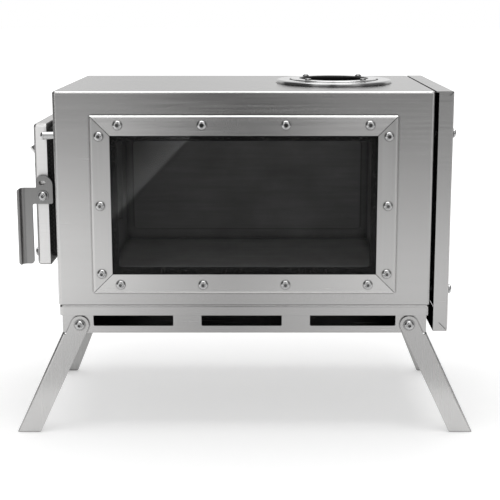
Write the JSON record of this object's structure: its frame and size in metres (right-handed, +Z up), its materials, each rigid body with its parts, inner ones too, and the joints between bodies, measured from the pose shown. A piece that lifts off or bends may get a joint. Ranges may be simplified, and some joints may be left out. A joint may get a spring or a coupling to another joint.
{
  "type": "camping wood stove",
  "caption": "Box-shaped steel camping wood stove on folding legs, with a framed front window, a latched side door with an air slider, and a round flue collar on top.",
  "frame": {"origin": "on the ground, under the middle of the stove's overall box", "axes": "+Z up, +X to the right as seen from the window side, +Y from the window to the back"},
  "size_m": [0.4754, 0.2232, 0.3635],
  "materials": {
    "shell_steel": "brushed",
    "firebox_steel": "heat-darkened",
    "collar_steel": "matt heat-resistant black",
    "fastener_steel": "bright",
    "window_glass": "clear, smoked by the dark firebox",
    "gasket_tape": "woven glass fibre",
    "gasket_rope": "woven glass-fibre rope"
  },
  "bodies": {
    "stove_body": {"body_shell": "shell_steel", "left_end_plate": "shell_steel", "right_end_wall": "shell_steel", "right_end_cover": "shell_steel", "bottom_pan": "shell_steel", "base_tray": "shell_steel", "window_frame_top": "shell_steel", "window_frame_bottom": "shell_steel", "window_frame_left": "shell_steel", "window_frame_right": "shell_steel", "flue_ring": "shell_steel", "hinge_brackets": "shell_steel", "door_collar": "firebox_steel", "firebox_floor": "firebox_steel", "rear_liner": "firebox_steel", "left_liner": "firebox_steel", "right_liner": "firebox_steel", "smoke_baffle": "firebox_steel", "window_retainer": "firebox_steel", "flue_collar": "collar_steel", "window_screws": "fastener_steel", "flue_screws": "fastener_steel", "base_screws": "fastener_steel", "end_cover_screws": "fastener_steel", "end_cover_sleeves": "fastener_steel", "end_cover_spacers": "fastener_steel", "post_sleeve": "fastener_steel", "post_screw": "fastener_steel", "latch_keeper": "fastener_steel", "hinge_pins": "fastener_steel", "leg_pivot_screws": "fastener_steel", "leg_washers": "fastener_steel", "window_nuts": "fastener_steel", "end_cover_nuts": "fastener_steel", "left_end_nuts": "fastener_steel", "leg_nuts": "fastener_steel", "base_nuts": "fastener_steel", "flue_nuts": "fastener_steel", "window_glass": "window_glass", "window_gasket": "gasket_tape"},
    "door": {"door_panel": "shell_steel", "door_inner_pan": "firebox_steel", "door_gasket": "gasket_rope", "door_screws": "fastener_steel", "door_washers": "fastener_steel", "door_nuts": "fastener_steel", "door_hinge_leaves": "shell_steel", "slider_screws": "fastener_steel", "latch_pivot": "fastener_steel"},
    "latch_lever": {"latch_lever": "shell_steel"},
    "air_slider": {"air_slider": "shell_steel"},
    "leg_front_left": {"leg_front_left": "shell_steel"},
    "leg_front_right": {"leg_front_right": "shell_steel"},
    "leg_rear_left": {"leg_rear_left": "shell_steel"},
    "leg_rear_right": {"leg_rear_right": "shell_steel"}
  },
  "joints": [
    {"name": "door_hinge", "type": "hinge", "parent": "stove_body", "child": "door", "pos_m": [-0.206, 0.09212, 0.2475], "axis": [0, 0, -1], "range_deg": [0, 120]},
    {"name": "lever_turn", "type": "hinge", "parent": "door", "child": "latch_lever", "pos_m": [-0.2062, -0.08357, 0.2475], "axis": [0, 1, 0], "range_deg": [0, 18]},
    {"name": "air_slide", "type": "slide", "parent": "door", "child": "air_slider", "axis": [0, 0, 1], "range_m": [0, 0.014]},
    {"name": "fold_front_left", "type": "hinge", "parent": "stove_body", "child": "leg_front_left", "pos_m": [-0.169, -0.10487, 0.1165], "axis": [0, -1, 0], "range_deg": [0, 115]},
    {"name": "fold_front_right", "type": "hinge", "parent": "stove_body", "child": "leg_front_right", "pos_m": [0.169, -0.10487, 0.1165], "axis": [0, 1, 0], "range_deg": [0, 115]},
    {"name": "fold_rear_left", "type": "hinge", "parent": "stove_body", "child": "leg_rear_left", "pos_m": [-0.169, 0.08213, 0.1165], "axis": [0, -1, 0], "range_deg": [0, 112]},
    {"name": "fold_rear_right", "type": "hinge", "parent": "stove_body", "child": "leg_rear_right", "pos_m": [0.169, 0.08213, 0.1165], "axis": [0, 1, 0], "range_deg": [0, 112]}
  ]
}
